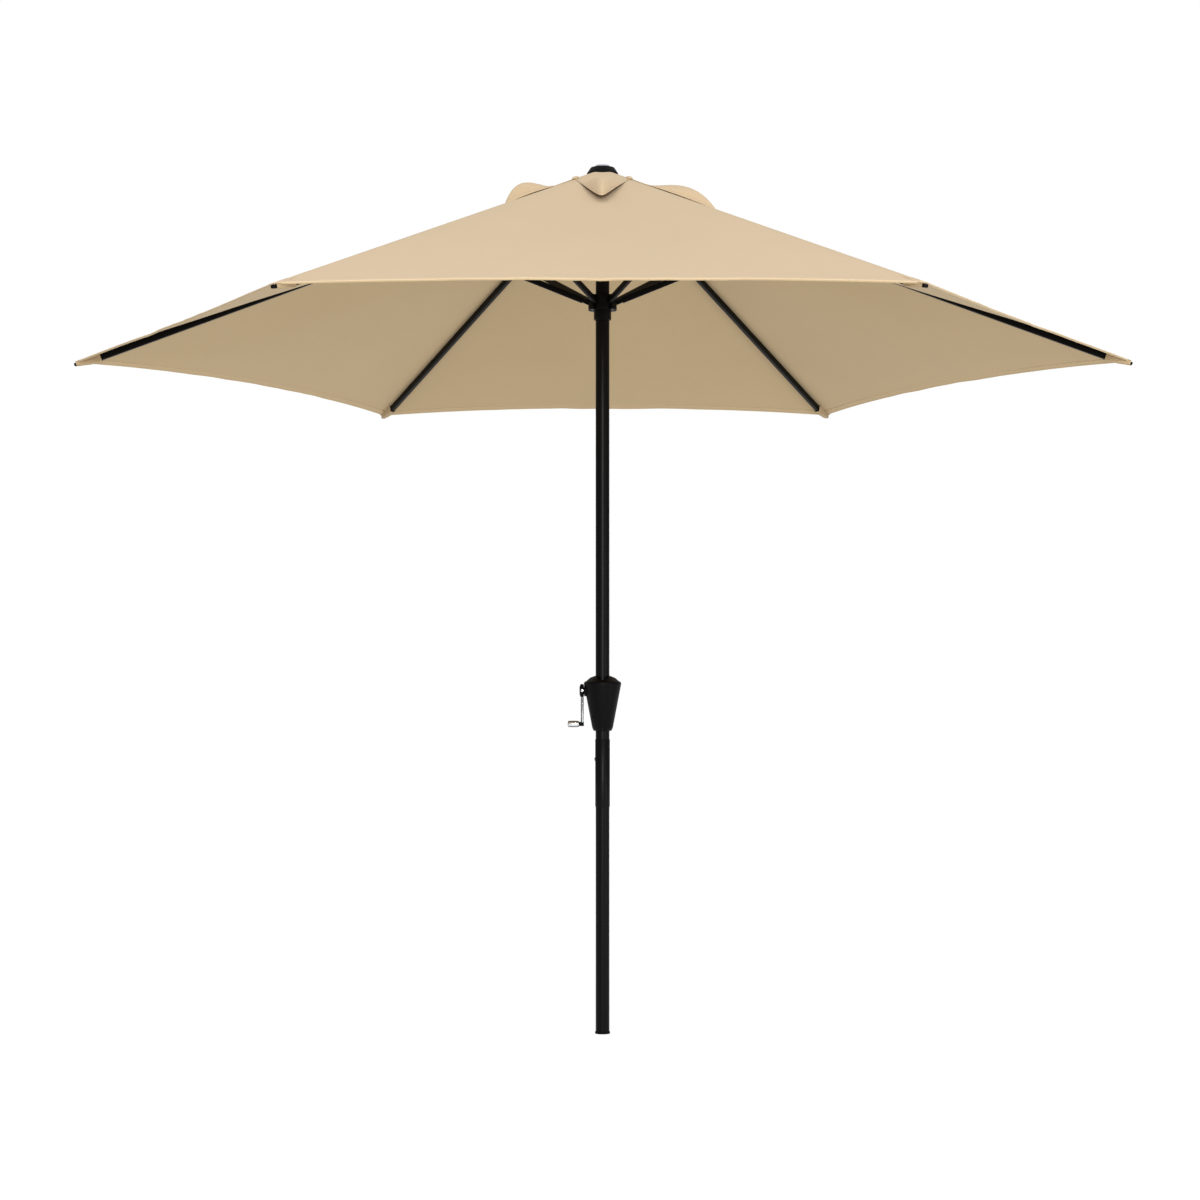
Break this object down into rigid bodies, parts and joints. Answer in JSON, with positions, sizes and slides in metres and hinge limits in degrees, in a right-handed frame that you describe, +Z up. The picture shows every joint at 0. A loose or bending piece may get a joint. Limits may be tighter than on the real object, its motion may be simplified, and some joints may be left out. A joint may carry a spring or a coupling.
{
  "type": "patio umbrella",
  "caption": "Crank-lift garden parasol: straight pole with a crank housing and handle, ribs hinged on a hub, stretchers on a sliding runner, fabric canopy with a vent cap.",
  "frame": {"origin": "centre of the flat lower end of the pole", "axes": "+Z up along the pole; rib 1 points along +X and the crank handle along -X; the umbrella is open"},
  "size_m": [2.9208, 2.5356, 2.397],
  "materials": {
    "powder_coat": "satin",
    "black_plastic": "satin",
    "chrome": "polished",
    "steel": "satin",
    "grey_plastic": "satin",
    "white_cord": "matte",
    "canvas": "matte"
  },
  "bodies": {
    "pole": {"lower_pole": "powder_coat", "pole_foot_plug": "black_plastic", "pole_sleeve": "powder_coat", "upper_pole": "powder_coat", "pole_top_plug": "black_plastic", "lock_spring": "steel", "crank_housing_front": "black_plastic", "crank_housing_back": "black_plastic", "housing_screw_front": "steel", "housing_screw_back": "steel", "brake_bush": "steel", "brake_spring": "steel", "pulley_pin": "steel", "lift_cord_inner": "white_cord", "top_hub": "black_plastic", "hub_ring_wire": "steel", "finial": "black_plastic", "finial_bolt": "steel", "finial_cap": "grey_plastic"},
    "rib_1": {"rib_1": "powder_coat", "rib_tip_1": "black_plastic", "canopy_panel_1": "canvas", "vent_cap_1": "canvas"},
    "rib_2": {"rib_2": "powder_coat", "rib_tip_2": "black_plastic", "canopy_panel_2": "canvas", "vent_cap_2": "canvas"},
    "rib_3": {"rib_3": "powder_coat", "rib_tip_3": "black_plastic", "canopy_panel_3": "canvas", "vent_cap_3": "canvas"},
    "rib_4": {"rib_4": "powder_coat", "rib_tip_4": "black_plastic", "canopy_panel_4": "canvas", "vent_cap_4": "canvas"},
    "rib_5": {"rib_5": "powder_coat", "rib_tip_5": "black_plastic", "canopy_panel_5": "canvas", "vent_cap_5": "canvas"},
    "rib_6": {"rib_6": "powder_coat", "rib_tip_6": "black_plastic", "canopy_panel_6": "canvas", "vent_cap_6": "canvas"},
    "stretcher_1": {"stretcher_1": "powder_coat"},
    "stretcher_2": {"stretcher_2": "powder_coat"},
    "stretcher_3": {"stretcher_3": "powder_coat"},
    "stretcher_4": {"stretcher_4": "powder_coat"},
    "stretcher_5": {"stretcher_5": "powder_coat"},
    "stretcher_6": {"stretcher_6": "powder_coat"},
    "runner": {"runner": "black_plastic", "lift_cord_outer": "white_cord"},
    "crank": {"crank_axle": "steel", "crank_spool": "black_plastic", "crank_hub": "black_plastic", "crank_arm": "chrome", "crank_rivet": "chrome", "knob_pin": "black_plastic"},
    "knob": {"crank_knob": "chrome"},
    "pulley": {"cord_pulley": "grey_plastic"},
    "button": {"lock_button": "steel"}
  },
  "joints": [
    {"name": "rib_1_fold", "type": "hinge", "parent": "pole", "child": "rib_1", "pos_m": [0.036, 0, 2.359], "axis": [0, 1, 0], "range_deg": [0, 65], "deforming": ["canopy_panel_1", "vent_cap_1"]},
    {"name": "rib_2_fold", "type": "hinge", "parent": "pole", "child": "rib_2", "pos_m": [0.018, 0.03118, 2.359], "axis": [-0.866, 0.5, 0], "range_deg": [0, 65], "deforming": ["canopy_panel_2", "vent_cap_2"]},
    {"name": "rib_3_fold", "type": "hinge", "parent": "pole", "child": "rib_3", "pos_m": [-0.018, 0.03118, 2.359], "axis": [-0.866, -0.5, 0], "range_deg": [0, 65], "deforming": ["canopy_panel_3", "vent_cap_3"]},
    {"name": "rib_4_fold", "type": "hinge", "parent": "pole", "child": "rib_4", "pos_m": [-0.036, 0, 2.359], "axis": [0, -1, 0], "range_deg": [0, 65], "deforming": ["canopy_panel_4", "vent_cap_4"]},
    {"name": "rib_5_fold", "type": "hinge", "parent": "pole", "child": "rib_5", "pos_m": [-0.018, -0.03118, 2.359], "axis": [0.866, -0.5, 0], "range_deg": [0, 65], "deforming": ["canopy_panel_5", "vent_cap_5"]},
    {"name": "rib_6_fold", "type": "hinge", "parent": "pole", "child": "rib_6", "pos_m": [0.018, -0.03118, 2.359], "axis": [0.866, 0.5, 0], "range_deg": [0, 65], "deforming": ["canopy_panel_6", "vent_cap_6"]},
    {"name": "stretcher_1_hinge", "type": "hinge", "parent": "rib_1", "child": "stretcher_1", "pos_m": [0.46054, 0, 2.18347], "axis": [0, 1, 0], "range_deg": [-130.99, 0]},
    {"name": "stretcher_2_hinge", "type": "hinge", "parent": "rib_2", "child": "stretcher_2", "pos_m": [0.23027, 0.39884, 2.18347], "axis": [-0.866, 0.5, 0], "range_deg": [-130.99, 0]},
    {"name": "stretcher_3_hinge", "type": "hinge", "parent": "rib_3", "child": "stretcher_3", "pos_m": [-0.23027, 0.39884, 2.18347], "axis": [-0.866, -0.5, 0], "range_deg": [-130.99, 0]},
    {"name": "stretcher_4_hinge", "type": "hinge", "parent": "rib_4", "child": "stretcher_4", "pos_m": [-0.46054, 0, 2.18347], "axis": [0, -1, 0], "range_deg": [-130.99, 0]},
    {"name": "stretcher_5_hinge", "type": "hinge", "parent": "rib_5", "child": "stretcher_5", "pos_m": [-0.23027, -0.39884, 2.18347], "axis": [0.866, -0.5, 0], "range_deg": [-130.99, 0]},
    {"name": "stretcher_6_hinge", "type": "hinge", "parent": "rib_6", "child": "stretcher_6", "pos_m": [0.23027, -0.39884, 2.18347], "axis": [0.866, 0.5, 0], "range_deg": [-130.99, 0]},
    {"name": "runner_slide", "type": "slide", "parent": "pole", "child": "runner", "axis": [0, 0, -1], "range_m": [0, 0.56705], "deforming": ["lift_cord_outer"]},
    {"name": "crank_turn", "type": "hinge", "parent": "pole", "child": "crank", "pos_m": [0, 0, 0.939], "axis": [1, 0, 0], "range_deg": [0, 2520]},
    {"name": "pulley_turn", "type": "hinge", "parent": "pole", "child": "pulley", "pos_m": [0, 0.0115, 2.305], "axis": [1, 0, 0], "range_deg": [-3316, 0]},
    {"name": "knob_spin", "type": "hinge", "parent": "crank", "child": "knob", "pos_m": [-0.0802, 0, 0.847], "axis": [1, 0, 0], "continuous": true},
    {"name": "lock_button_press", "type": "slide", "parent": "pole", "child": "button", "axis": [1, 0, 0], "range_m": [0, 0.0028], "stiffness_N_per_m": 300, "springref_m": -0.003, "deforming": ["lock_spring"]}
  ],
  "couplings": [
    {"joint": "stretcher_1_hinge", "follows": "rib_1_fold", "ratio": -2.0152},
    {"joint": "stretcher_2_hinge", "follows": "rib_1_fold", "ratio": -2.0152},
    {"joint": "stretcher_3_hinge", "follows": "rib_1_fold", "ratio": -2.0152},
    {"joint": "stretcher_4_hinge", "follows": "rib_1_fold", "ratio": -2.0152},
    {"joint": "stretcher_5_hinge", "follows": "rib_1_fold", "ratio": -2.0152},
    {"joint": "stretcher_6_hinge", "follows": "rib_1_fold", "ratio": -2.0152},
    {"joint": "rib_2_fold", "follows": "rib_1_fold", "ratio": 1},
    {"joint": "rib_3_fold", "follows": "rib_1_fold", "ratio": 1},
    {"joint": "rib_4_fold", "follows": "rib_1_fold", "ratio": 1},
    {"joint": "rib_5_fold", "follows": "rib_1_fold", "ratio": 1},
    {"joint": "rib_6_fold", "follows": "rib_1_fold", "ratio": 1},
    {"joint": "runner_slide", "follows": "rib_1_fold", "m_per_rad": 0.49984},
    {"joint": "crank_turn", "follows": "rib_1_fold", "ratio": 38.769},
    {"joint": "pulley_turn", "follows": "rib_1_fold", "ratio": -51.004}
  ]
}
